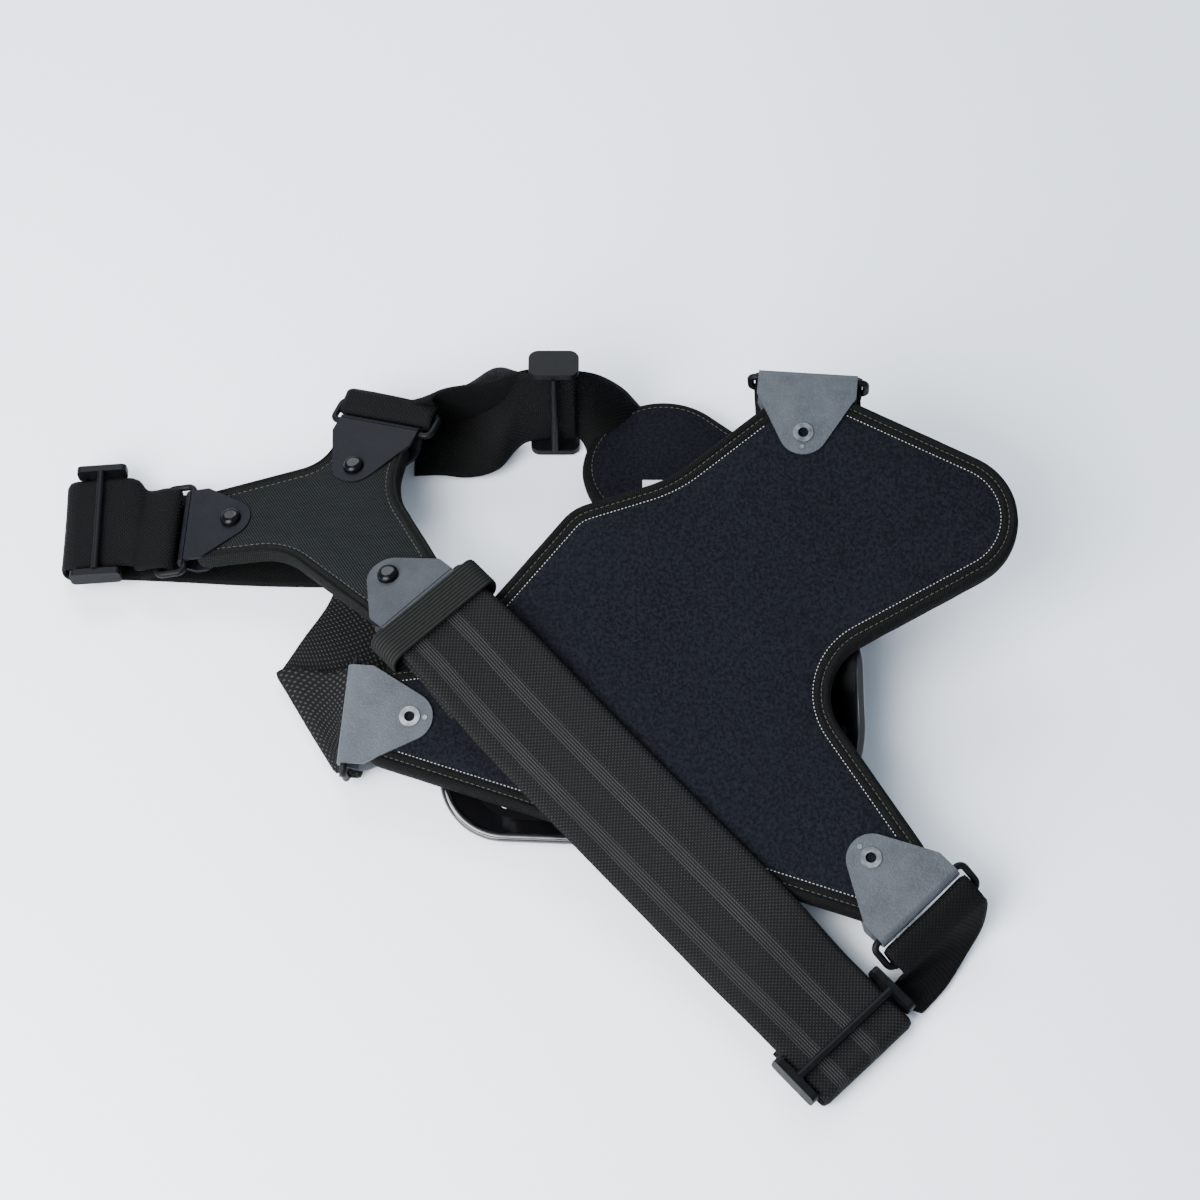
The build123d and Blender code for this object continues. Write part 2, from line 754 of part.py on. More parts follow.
# Shoulder strap: from the slider down over the shoulder pad and up to the top ring.
top_bar, top_across, top_out = far_bar(panel_tabs["top"])
shoulder_stations = [
    (at(105, -18, 1.5), (1, 0, 0), webbing_width),
    (at(105, -11, 4), (1, 0, 0), webbing_width),
    (at(105, 4, 18), (1, 0, 0), webbing_width),
    (at(102, 34, 32), (1, 0, 0), webbing_width),
    (at(98.5, 58, 46), (1, -0.05, 0.02), webbing_width),
]
shoulder_loop = loop_round(top_bar, top_across, Vector(0, -0.6, -0.8), webbing_width)
shoulder_stations += shoulder_loop[::-1][:-1]
shoulder_rise = ribbon(shoulder_stations)
with BuildPart() as shoulder_strap:
    add(shoulder_rise.part)
    with BuildSketch(Plane(origin=at(0, 0, 0.2))):
        with BuildLine():
            Polyline(
                (-9.5, 92), (-3, 66), (72, 3), (80, -20), (131, -20), (131, -8), (104, 41),
                (28, 101), (-5, 95), (-9.5, 94.5),
                close=True,
            )
        make_face()
    extrude(amount=webbing_thickness)
    with BuildSketch(Plane(origin=at(0, 94.2, 0), x_dir=(1, 0, 0), z_dir=(0, -1, 0))):
        with BuildLine():
            Polyline((-9.5, 1), (-9.5, 50), (-7, 46), (-4.5, 20), (-4.5, 1), close=True)
        make_face()
    extrude(amount=webbing_thickness)
shoulder_strap.part.label = "shoulder_strap"
export_step(shoulder_strap.part, "parts/shoulder_strap.step")

# ---- shoulder pad --------------------------------------------------------------
pad_layers = [
    ("pad_backing", 0, pad_backing_thickness),
    ("pad_core", pad_backing_thickness, pad_core_thickness),
    ("pad_face", pad_backing_thickness + pad_core_thickness, pad_face_thickness),
]
for name, bottom, thickness in pad_layers:
    with BuildPart() as piece:
        with BuildSketch(pad_plane.offset(bottom)):
            RectangleRounded(pad_length, pad_width, pad_width / 2 - 3)
        extrude(amount=thickness)
    piece.part.label = name
    export_step(piece.part, "parts/" + name + ".step")

with BuildPart() as pad_label:
    with BuildSketch(Plane(origin=at(27, 55, pad_lift + pad_thickness))):
        Rectangle(13, 8)
    extrude(amount=0.5)
pad_label.part.label = "pad_label"
export_step(pad_label.part, "parts/pad_label.step")

# ---- sliders -------------------------------------------------------------------


def slider(frame, gap):
    """Three bars between two cheeks: the middle one over the strap, the others under.
    The frame's +x runs across the strap and its +y along it; gap is the strap's room."""
    lift = gap / 2 + slider_bar_radius
    inner = slider_outer_width / 2 - slider_cheek_width
    with BuildPart() as piece:
        for side in (-1, 1):
            with BuildSketch(Plane(origin=frame.origin + frame.x_dir * side * inner,
                                   x_dir=frame.y_dir, z_dir=frame.x_dir * side)):
                RectangleRounded(slider_length, 2 * lift + 1.6, lift * 0.7)
            extrude(amount=slider_cheek_width)
        for along, height in ((0, lift), (-slider_bar_spread, -lift), (slider_bar_spread, -lift)):
            start = frame.origin + frame.y_dir * along + frame.z_dir * height - frame.x_dir * inner
            with BuildSketch(Plane(origin=start, z_dir=frame.x_dir)):
                Circle(slider_bar_radius)
            extrude(amount=2 * inner)
    return piece


front_slider_run = 257.0
front_slider_frame = Plane(
    origin=front_zero + front_way * front_slider_run + Vector(0, 0, 9.4 + front_drop * 11),
    x_dir=front_side,
    z_dir=Vector(front_way.X * front_drop, front_way.Y * front_drop, 1),
)
upper_slider_frame = Plane(origin=at(-22, 92.2, 32), x_dir=(0, 0.02, 1), z_dir=(0, -1, 0.02))
slider_places = [
    ("front_slider", front_slider_frame, webbing_thickness + 2 * fit_gap + 0.6),
    ("left_slider", left_slider_frame, webbing_thickness + 2 * fit_gap + 0.6),
    ("upper_slider", upper_slider_frame, 2 * webbing_thickness + 6),
]
for name, frame, gap in slider_places:
    piece = slider(frame, gap)
    piece.part.label = name
    export_step(piece.part, "parts/" + name + ".step")

# ---- elastic keeper round the front strap and its ring ---------------------------
keeper_centre = front_zero - front_way * 2.5 + Vector(0, 0, front_bar.Z - 0.2)
keeper_way = Vector(front_way.X, front_way.Y, -0.05)
keeper_inner_width = ring_outer_width + 2 * fit_gap
with BuildPart() as keeper_loop:
    with BuildSketch(Plane(origin=keeper_centre, x_dir=-front_across, z_dir=keeper_way)):
        RectangleRounded(
            keeper_inner_width + 2 * keeper_wall, keeper_inner_height + 2 * keeper_wall, 4
        )
        RectangleRounded(keeper_inner_width, keeper_inner_height, 2.5, mode=Mode.SUBTRACT)
    extrude(amount=keeper_length / 2, both=True)
keeper_loop.part.label = "keeper_loop"
export_step(keeper_loop.part, "parts/keeper_loop.step")
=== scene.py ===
"""Looks for the padded chest harness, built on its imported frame. Metres unless named."""

from math import cos, pi, radians, sin, tan

import bpy
from mathutils import Matrix, Vector, geometry, kdtree, noise


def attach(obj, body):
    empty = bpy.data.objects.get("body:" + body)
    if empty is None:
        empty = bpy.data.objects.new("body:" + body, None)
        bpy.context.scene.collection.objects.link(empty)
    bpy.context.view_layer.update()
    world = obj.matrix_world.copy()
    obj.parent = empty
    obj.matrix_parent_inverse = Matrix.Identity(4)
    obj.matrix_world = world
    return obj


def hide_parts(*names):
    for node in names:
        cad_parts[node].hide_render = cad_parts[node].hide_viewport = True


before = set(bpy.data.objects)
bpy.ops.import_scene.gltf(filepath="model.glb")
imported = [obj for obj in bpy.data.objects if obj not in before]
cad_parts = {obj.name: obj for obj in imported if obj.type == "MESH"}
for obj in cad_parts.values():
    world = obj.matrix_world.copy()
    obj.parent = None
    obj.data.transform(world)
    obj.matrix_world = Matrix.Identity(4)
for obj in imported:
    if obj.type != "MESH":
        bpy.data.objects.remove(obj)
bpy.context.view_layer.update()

MM = 0.001
# From the layout's own zero to the frame's origin, in millimetres.
SHIFT = Vector((34.11, 67.16, 0))

# Sizes in millimetres and angles in degrees, the same as the CAD's own.
WEBBING_WIDTH = 50
FRONT_WIDTH = 53
LYING = 1.3                 # height of a strap's middle where it lies on the surface
WIRE_RADIUS = 1.6
WRAP_GAP = 0.12             # between a tab's fold and the bar in it
TAB_THICK = 1.5
RING_BARS = 13              # from one bar of a ring to the other
FRONT_HEADING = -46.5       # way the front strap runs
PANEL_THICK, YOKE_THICK, PAD_THICK = 10.5, 8.0, 12.0


def at(x, y, z):
    """A place given in layout millimetres."""
    return (Vector((x, y, z)) + SHIFT) * MM


def tilted(place, pitch, roll, turn=0):
    """A frame at a place, tilted as the CAD planes are."""
    spin = Matrix.Rotation(radians(pitch), 4, "X") @ Matrix.Rotation(radians(roll), 4, "Y")
    return Matrix.Translation(place) @ spin @ Matrix.Rotation(radians(turn), 4, "Z")


def frame_on(plane, x, y, turn):
    """A frame on another one, moved and turned in its plane."""
    move = Matrix.Translation(Vector((x, y, 0)) * MM)
    return plane @ move @ Matrix.Rotation(radians(turn), 4, "Z")


# ---- shader writing --------------------------------------------------------------


class Wire:
    """A shader socket that maths can be written on."""

    def __init__(self, paint, socket):
        self.paint = paint
        self.socket = socket

    def maths(self, operation, first, second=None):
        values = {0: first}
        if second is not None:
            values[1] = second
        return self.paint.node("ShaderNodeMath", {"operation": operation}, values)

    def __add__(self, other):
        return self.maths("ADD", self, other)

    def __radd__(self, other):
        return self.maths("ADD", other, self)

    def __sub__(self, other):
        return self.maths("SUBTRACT", self, other)

    def __rsub__(self, other):
        return self.maths("SUBTRACT", other, self)

    def __mul__(self, other):
        return self.maths("MULTIPLY", self, other)

    def __rmul__(self, other):
        return self.maths("MULTIPLY", other, self)

    def sine(self):
        return self.maths("SINE", self)

    def magnitude(self):
        return self.maths("ABSOLUTE", self)

    def least(self, other):
        return self.maths("MINIMUM", self, other)

    def most(self, other):
        return self.maths("MAXIMUM", self, other)

    def ramp(self, low, high):
        """0 below low, 1 above high, smooth between."""
        settings = {"interpolation_type": "SMOOTHSTEP"}
        return self.paint.node("ShaderNodeMapRange", settings, {0: self, 1: low, 2: high})


class Paint:
    """One material with its nodes."""

    def __init__(self, name, slot, base, rough, **constants):
        self.slot = slot
        self.material = bpy.data.materials.new(name)
        self.material.use_nodes = True
        self.tree = self.material.node_tree
        self.shader = self.tree.nodes["Principled BSDF"]
        self.shader.inputs["Base Color"].default_value = (*base, 1)
        self.shader.inputs["Roughness"].default_value = rough
        for socket, value in constants.items():
            self.shader.inputs[socket.replace("_", " ")].default_value = value

    def node(self, kind, settings=None, values=None, out=0):
        made = self.tree.nodes.new(kind)
        for key, value in (settings or {}).items():
            setattr(made, key, value)
        for key, value in (values or {}).items():
            self.feed(made.inputs[key], value)
        return Wire(self, made.outputs[out])

    def feed(self, socket, value):
        if isinstance(value, Wire):
            self.tree.links.new(value.socket, socket)
        else:
            socket.default_value = value

    def place(self, scale=1.0):
        """Place on the object, in metres times scale."""
        here = self.node("ShaderNodeTexCoord", out="Object")
        return self.node("ShaderNodeVectorMath", {"operation": "SCALE"}, {0: here, 3: scale})

    def cloth(self, stretch=(1000, 1000, 1)):
        """Place along the cloth: u across and v along, in millimetres."""
        here = self.node("ShaderNodeTexCoord", out="UV")
        return self.node("ShaderNodeVectorMath", {"operation": "MULTIPLY"}, {0: here, 1: stretch})

    def axis(self, vector, letter):
        return self.node("ShaderNodeSeparateXYZ", None, {0: vector}, out=letter)

    def noise(self, where, scale, detail=3.0, rough=0.5):
        values = {"Vector": where, "Scale": scale, "Detail": detail, "Roughness": rough}
        return self.node("ShaderNodeTexNoise", None, values, out=0)

    def cells(self, where, scale, feature="F1"):
        values = {"Vector": where, "Scale": scale}
        return self.node("ShaderNodeTexVoronoi", {"feature": feature}, values, out="Distance")

    def blend(self, amount, first, second):
        values = {0: amount, 6: first, 7: second}
        return self.node("ShaderNodeMix", {"data_type": "RGBA"}, values, out=2)

    def colour(self, amount, dark, light):
        self.feed(self.shader.inputs["Base Color"], self.blend(amount, (*dark, 1), (*light, 1)))

    def rough(self, amount):
        self.feed(self.shader.inputs["Roughness"], amount)

    def bump(self, height, distance, strength=1.0):
        values = {"Height": height, "Distance": distance, "Strength": strength}
        self.feed(self.shader.inputs["Normal"], self.node("ShaderNodeBump", None, values))


def make_neoprene():
    paint = Paint("neoprene_face", "neoprene", (0.004, 0.005, 0.009), 0.9, Specular_IOR_Level=0.03)
    here = paint.place()
    knit = paint.cells(here, 1100)
    blotch = paint.noise(here, 640, 2).ramp(0.3, 0.7)
    drift = paint.noise(here, 22, 4)
    lint = paint.noise(here, 2300, 1).ramp(0.64, 0.76)
    shade = blotch * 0.42 + drift * 0.25 + knit * 0.3 + lint * 0.8
    paint.colour(shade.least(1.0), (0.0009, 0.0011, 0.0020), (0.0094, 0.0104, 0.0140))
    paint.rough(0.82 + 0.14 * drift)
    height = knit + 0.9 * blotch + 1.5 * paint.noise(here, 60, 2)
    paint.bump(height, 0.00025, 0.8)
    return paint


def make_tape(name, slot, dark, light):
    """Woven edge tape: fine cross ribs with a fuzzy face."""
    paint = Paint(name, slot, dark, 0.85, Specular_IOR_Level=0.06)
    cloth = paint.cloth()
    across = paint.axis(cloth, "X")
    along = paint.axis(cloth, "Y")
    ribs = (along * (2 * pi / 0.95) + across * 1.3).sine() * 0.5 + 0.5
    rows = (across * (2 * pi / 1.1)).sine() * 0.5 + 0.5
    fuzz = paint.noise(paint.place(), 1400, 3)
    weave = ribs * 0.6 + rows * 0.4
    paint.colour((weave * fuzz * 1.6).ramp(0.15, 1.0), dark, light)
    paint.rough(0.75 + 0.2 * fuzz)
    paint.bump(weave + fuzz, 0.0003, 0.8)
    return paint


def make_twill():
    paint = Paint("ribbed_yoke_cloth", "twill", (0.01, 0.011, 0.012), 0.8, Specular_IOR_Level=0.06)
    here = paint.place()
    x = paint.axis(here, "X")
    y = paint.axis(here, "Y")
    wander = paint.noise(here, 160, 2)
    ribs = ((x * 0.86 + y * 0.5) * (2 * pi / 0.0011) + wander * 5).sine() * 0.5 + 0.5
    stretch = {"Vector": here, "Rotation": (0, 0, radians(-60)), "Scale": (90, 1100, 300)}
    streak_place = paint.node("ShaderNodeMapping", None, stretch)
    broken = paint.noise(streak_place, 1.0, 3) * 0.7 + paint.noise(here, 700, 3) * 0.3
    shade = (ribs * 0.6 + broken * 0.6).ramp(0.2, 1.05)
    paint.colour(shade, (0.0014, 0.0017, 0.0018), (0.0150, 0.0172, 0.0180))
    paint.rough(0.7 + 0.2 * broken)
    paint.bump(ribs + broken * 0.8, 0.0003, 0.8)
    return paint


def make_leatherette(name, dark, light, shine=0.3):
    paint = Paint(name, "leatherette", light, 0.42, Specular_IOR_Level=shine)
    here = paint.place()
    grain = paint.cells(here, 1150)
    fine = paint.noise(here, 3200, 2)
    scuff = paint.noise(here, 70, 5, 0.65)
    paint.colour((scuff * 0.8 + grain * 0.35).ramp(0.2, 0.95), dark, light)
    paint.rough((0.34 + 0.22 * scuff + 0.12 * grain).least(0.75))
    paint.bump(grain * 0.7 + fine * 0.4 + scuff * 1.2, 0.00014, 0.9)
    return paint


def make_webbing(name, bands, bright, pitch=1.0, dark=(0.0012, 0.0013, 0.0014)):
    """Heavy webbing: a bead weave with lengthwise cord bands. bands holds each band's
    middle and half width, from the strap's middle, in millimetres."""
    light = (bright, bright * 1.02, bright * 1.03)
    paint = Paint(name, "webbing", light, 0.7, Specular_IOR_Level=0.08)
    cloth = paint.cloth()
    across = paint.axis(cloth, "X")
    along = paint.axis(cloth, "Y")
    u = (across * (2 * pi / (2.1 * pitch))).sine()
    v = (along * (2 * pi / (1.9 * pitch))).sine()
    bead = (u * v) * 0.5 + 0.5
    cords = (across * (2 * pi / 1.25)).sine() * 0.5 + 0.5
    twist = (along * (2 * pi / 1.5) + across * 3.2).sine() * 0.5 + 0.5
    in_band = None
    for middle, half in bands:
        near = 1.0 - (across - middle).magnitude().ramp(half - 0.35, half + 0.35)
        in_band = near if in_band is None else in_band.most(near)
    wear = paint.noise(paint.place(), 45, 4)
    fuzz = paint.noise(paint.place(), 2400, 2)
    field = bead.ramp(0.5, 0.98)
    if in_band is None:
        face = field
    else:
        cord_face = cords.ramp(0.1, 0.8) * (0.6 + 0.4 * twist)
        face = field * (1 - in_band) * 0.62 + cord_face * in_band
    paint.colour((face * (0.5 + wear * 0.6) + fuzz * 0.15).least(1.0), dark, light)
    paint.rough((0.55 + 0.3 * wear).least(0.95))
    paint.bump(face + fuzz * 0.5, 0.00045, 0.9)
    return paint


def make_elastic():
    paint = Paint("ribbed_elastic", "elastic", (0.01, 0.011, 0.0105), 0.8, Specular_IOR_Level=0.04)
    cloth = paint.cloth()
    across = paint.axis(cloth, "X")
    along = paint.axis(cloth, "Y")
    knit = (along * (2 * pi / 0.9)).sine() * 0.5 + 0.5
    ribs = (across * (2 * pi / 1.6)).sine() * 0.5 + 0.5
    fuzz = paint.noise(paint.place(), 1800, 2)
    paint.colour(ribs * 0.7 + knit * fuzz * 0.5, (0.0018, 0.002, 0.002), (0.018, 0.020, 0.0185))
    paint.bump(ribs + 0.4 * knit + 0.4 * fuzz, 0.0003, 0.8)
    return paint


def make_metal(name, slot, base, rough, metallic, shine=0.5, dirt=0.25):
    paint = Paint(name, slot, base, rough, Metallic=metallic, Specular_IOR_Level=shine)
    here = paint.place()
    wear = paint.noise(here, 320, 4)
    fine = paint.noise(here, 2500, 2)
    dark = tuple(c * (1 - dirt) for c in base)
    light = tuple(min(1, c * (1 + dirt)) for c in base)
    paint.colour(wear.ramp(0.3, 0.7), dark, light)
    paint.rough((rough - 0.08 + 0.2 * wear).most(0.05))
    paint.bump(fine + wear, 0.00004, 0.5)
    return paint


def make_gloss_shell():
    paint = Paint("gloss_shell", "shell_plastic", (0.004, 0.004, 0.005), 0.14, Coat_Weight=0.6,
                  Coat_Roughness=0.05, Specular_IOR_Level=0.6)
    here = paint.place()
    haze = paint.noise(here, 30, 4)
    paint.colour(haze, (0.003, 0.003, 0.0036), (0.007, 0.007, 0.008))
    paint.rough(0.09 + 0.14 * haze)
    paint.bump(paint.noise(here, 260, 2), 0.00003, 0.4)
    return paint


def make_thread(name, slot, colour):
    paint = Paint(name, slot, colour, 0.6, Sheen_Weight=0.2)
    twist = paint.noise(paint.place(), 1800, 2)
    paint.colour(twist.ramp(0.25, 0.75), tuple(c * 0.55 for c in colour), colour)
    paint.bump(twist, 0.0001, 0.6)
    return paint


def make_foam():
    paint = Paint("closed_foam", "foam", (0.02, 0.02, 0.022), 0.9)
    here = paint.place()
    pores = paint.cells(here, 900)
    paint.colour(pores, (0.008, 0.008, 0.009), (0.03, 0.03, 0.032))
    paint.bump(pores, 0.0003)
    return paint


def make_label():
    paint = Paint("label_cloth", "label_cloth", (0.45, 0.46, 0.47), 0.7)
    here = paint.place()
    weave = paint.noise(here, 1500, 3)
    paint.colour(weave, (0.36, 0.37, 0.39), (0.55, 0.56, 0.58))
    paint.bump(weave, 0.0002)
    return paint


NEOPRENE = make_neoprene()
EDGE_TAPE = make_tape("black_edge_tape", "binding", (0.0012, 0.0013, 0.0014), (0.0105, 0.011, 0.0105))
YOKE_TAPE = make_tape("yoke_edge_tape", "binding", (0.002, 0.0022, 0.0022), (0.016, 0.018, 0.0165))
LINING = make_tape("plain_lining", "lining", (0.003, 0.003, 0.0035), (0.016, 0.016, 0.018))
TWILL = make_twill()
LEATHERETTE = make_leatherette("coated_leatherette", (0.024, 0.028, 0.034), (0.050, 0.057, 0.068))
DARK_LEATHERETTE = make_leatherette(
    "dark_leatherette", (0.0022, 0.0024, 0.0034), (0.0070, 0.0075, 0.0105), 0.09
)
# A lighter copy of the dark leatherette for the lower tab: painted light, for the light that falls more on
# that tab.
LIT_LEATHERETTE = make_leatherette("lit_leatherette", (0.014, 0.016, 0.020), (0.036, 0.041, 0.048), 0.2)
FRONT_WEBBING = make_webbing("banded_webbing", [(-15.4, 3.2), (4.4, 3.2)], 0.034)
WEBBING = make_webbing("plain_webbing", [], 0.0070)
CROSS_WEBBING = make_webbing("bead_webbing", [], 0.032, 1.5)
ELASTIC = make_elastic()
BLACK_STEEL = make_metal("black_wire", "black_steel", (0.0022, 0.0026, 0.0032), 0.46, 0.0, 0.11)
CAP = make_metal("black_cap", "cap_black", (0.0014, 0.0018, 0.0026), 0.17, 0.0, 0.13)
PLATED = make_metal("nickel_plate", "plated_steel", (0.27, 0.285, 0.30), 0.3, 1.0)
SHELL = make_gloss_shell()
PALE_THREAD = make_thread("pale_thread", "binding", (0.40, 0.40, 0.385))
DARK_THREAD = make_thread("dark_thread", "binding", (0.018, 0.020, 0.018))
FOAM = make_foam()
LABEL = make_label()

# ---- mesh making -------------------------------------------------------------------


def piece(name, verts, faces, paint, body="harness", flat_map=None, smooth=True):
    """A named mesh piece that rides on a body. flat_map gives each vertex its cloth place."""
    mesh = bpy.data.meshes.new(name)
    mesh.from_pydata([tuple(v) for v in verts], [], faces)
    mesh.materials.append(paint.material)
    if flat_map:
        layer = mesh.uv_layers.new(name="cloth")
        for loop in mesh.loops:
            layer.data[loop.index].uv = flat_map[loop.vertex_index]
    for polygon in mesh.polygons:
        polygon.use_smooth = smooth
    mesh.validate()
    mesh.update()
    made = bpy.data.objects.new(name, mesh)
    bpy.context.scene.collection.objects.link(made)
    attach(made, body)
    return made


def rounded_outline(corners, step=2.0):
    """Points round a filleted outline, evenly close, in millimetres."""
    count = len(corners)
    points = []
    for i in range(count):
        here = Vector(corners[i][0])
        before = (Vector(corners[i - 1][0]) - here).normalized()
        after = (Vector(corners[(i + 1) % count][0]) - here).normalized()
        radius = corners[i][1]
        half = before.angle(after) / 2
        reach = radius / tan(half)
        start = here + before * reach
        end = here + after * reach
        middle = here + (before + after).normalized() * (radius / sin(half))
        a, b = start - middle, end - middle
        sweep = a.angle(b)
        parts = max(3, int(radius * sweep / step))
        sign = 1 if a.x * b.y - a.y * b.x > 0 else -1
        for k in range(parts + 1):
            turn = sign * sweep * k / parts
            points.append(
                middle + Vector((a.x * cos(turn) - a.y * sin(turn), a.x * sin(turn) + a.y * cos(turn)))
            )
    filled = []
    for i, point in enumerate(points):
        following = points[(i + 1) % len(points)]
        parts = max(1, int((following - point).length / step))
        for k in range(parts):
            filled.append(point.lerp(following, k / parts))
    return filled


def inward(points):
    """The inward direction at each point of an anticlockwise outline."""
    ways = []
    for i in range(len(points)):
        along = (points[(i + 1) % len(points)] - points[i - 1]).normalized()
        ways.append(Vector((-along.y, along.x)))
    return ways


def closed_length(points):
    lengths = [0.0]
    for i in range(len(points)):
        lengths.append(lengths[-1] + (points[(i + 1) % len(points)] - points[i]).length)
    return lengths


def edge_tape(name, plane, points, section, material, body="harness"):
    """A tape folded round the edge: section holds inset and height pairs, closed."""
    ways = inward(points)
    lengths = closed_length(points)
    verts, faces, flat = [], [], []
    size = len(section)
    for i in range(len(points) + 1):
        j = i % len(points)
        ripple = 0.12 * noise.noise(Vector((lengths[i % len(points)] * 0.09, 0, 3)))
        for k, (inset, height) in enumerate(section):
            spot = points[j] + ways[j] * (inset + ripple)
            verts.append(plane @ (Vector((spot.x, spot.y, height + ripple)) * MM))
            flat.append((k * 1.6 * MM, lengths[i] * MM))
    for i in range(len(points)):
        for k in range(size):
            a, b = i * size + k, i * size + (k + 1) % size
            faces.append((a, b, b + size, a + size))
    return piece(name, verts, faces, material, body, flat)


def inner_sheet(name, plane, points, inset, height_at, material, grid=4.5, body="harness", flip=False):
    """A sheet filling an outline from an inset inwards. height_at takes the depth from
    the outline and the place, and gives a height in millimetres."""
    ways = inward(points)
    rim = [p + w * inset for p, w in zip(points, ways)]
    second = [p + w * (inset + 1.6) for p, w in zip(points, ways)]
    tree = kdtree.KDTree(len(points))
    for i, p in enumerate(points):
        tree.insert((p.x, p.y, 0), i)
    tree.balance()
    low = Vector((min(p.x for p in rim), min(p.y for p in rim)))
    high = Vector((max(p.x for p in rim), max(p.y for p in rim)))
    inside = []
    rows = int((high.y - low.y) / grid) + 2
    columns = int((high.x - low.x) / grid) + 2
    for r in range(rows):
        for c in range(columns):
            spot = Vector((low.x + (c + 0.5 * (r % 2)) * grid, low.y + r * grid))
            if tree.find((spot.x, spot.y, 0))[2] > inset + 3.2:
                inside.append(spot)
    outline = rim[::2]
    cloud = outline + second[::2] + inside
    ring = list(range(len(outline)))
    result = geometry.delaunay_2d_cdt(cloud, [], [ring], 1, 1e-5)
    used = sorted({index for face in result[2] for index in face})
    renumbered = {old: new for new, old in enumerate(used)}
    verts, flat = [], []
    for old in used:
        spot = result[0][old]
        depth = tree.find((spot.x, spot.y, 0))[2]
        verts.append(plane @ (Vector((spot.x, spot.y, height_at(depth, spot))) * MM))
        flat.append((spot.x * MM, spot.y * MM))
    faces = [tuple(renumbered[i] for i in f) for f in result[2]]
    if flip:
        faces = [f[::-1] for f in faces]
    return piece(name, verts, faces, material, body, flat)


def stitches(name, plane, points, inset, height, pitch, length, thick, material, body="harness", skip=()):
    """Separate sewn stitches along an outline. skip holds discs to leave out, as x, y, r."""
    ways = inward(points)
    path = [p + w * inset for p, w in zip(points, ways)]
    lengths = closed_length(path)
    verts, faces = [], []
    spot = 0.0
    index = 0

    def on_path(distance):
        nonlocal index
        distance %= lengths[-1]
        while not lengths[index] <= distance <= lengths[index + 1]:
            index = (index + 1) % len(path)
        share = (distance - lengths[index]) / max(1e-6, lengths[index + 1] - lengths[index])
        return path[index].lerp(path[(index + 1) % len(path)], share)

    while spot < lengths[-1] - pitch * 0.6:
        a, b = on_path(spot), on_path(spot + length)
        spot += pitch
        if any((a - Vector((x, y))).length < r for x, y, r in skip):
            continue
        add_stitch(verts, faces, plane, a, b, height, thick)
    return piece(name, verts, faces, material, body)


# Rings along one stitch: share of its length, share of its thickness, and how far it rises.
STITCH_RINGS = ((0, 0.35, -0.35), (0.2, 0.9, 0.05), (0.5, 1.0, 0.15), (0.8, 0.9, 0.05), (1, 0.35, -0.35))


def add_stitch(verts, faces, plane, a, b, height, thick, sides=6):
    """One short rounded thread between two places on a plane, sunk at both ends."""
    start = len(verts)
    along = (b - a).normalized()
    side = Vector((-along.y, along.x))
    for share, bulge, sink in STITCH_RINGS:
        middle = a.lerp(b, share)
        for k in range(sides):
            angle = 2 * pi * k / sides
            spot = middle + side * (thick * bulge * cos(angle))
            z = height + sink * thick * 2 + thick * bulge * sin(angle)
            verts.append(plane @ (Vector((spot.x, spot.y, z)) * MM))
    for ring in range(4):
        for k in range(sides):
            p = start + ring * sides + k
            q = start + ring * sides + (k + 1) % sides
            faces.append((p, q, q + sides, p + sides))
    faces.append(tuple(start + k for k in reversed(range(sides))))
    faces.append(tuple(start + 4 * sides + k for k in range(sides)))


def curve_through(points, parts):
    """Catmull-Rom places through points, with parts steps in each span."""
    run = []
    last = len(points) - 1
    for i in range(last):
        p0, p1 = points[max(i - 1, 0)], points[i]
        p2, p3 = points[i + 1], points[min(i + 2, last)]
        steps = parts[i]
        for k in range(steps):
            t = k / steps
            run.append(
                0.5 * (2 * p1 + (p2 - p0) * t + (2 * p0 - 5 * p1 + 4 * p2 - p3) * t * t
                       + (3 * p1 - p0 - 3 * p2 + p3) * t * t * t)
            )
    run.append(points[last].copy())
    return run


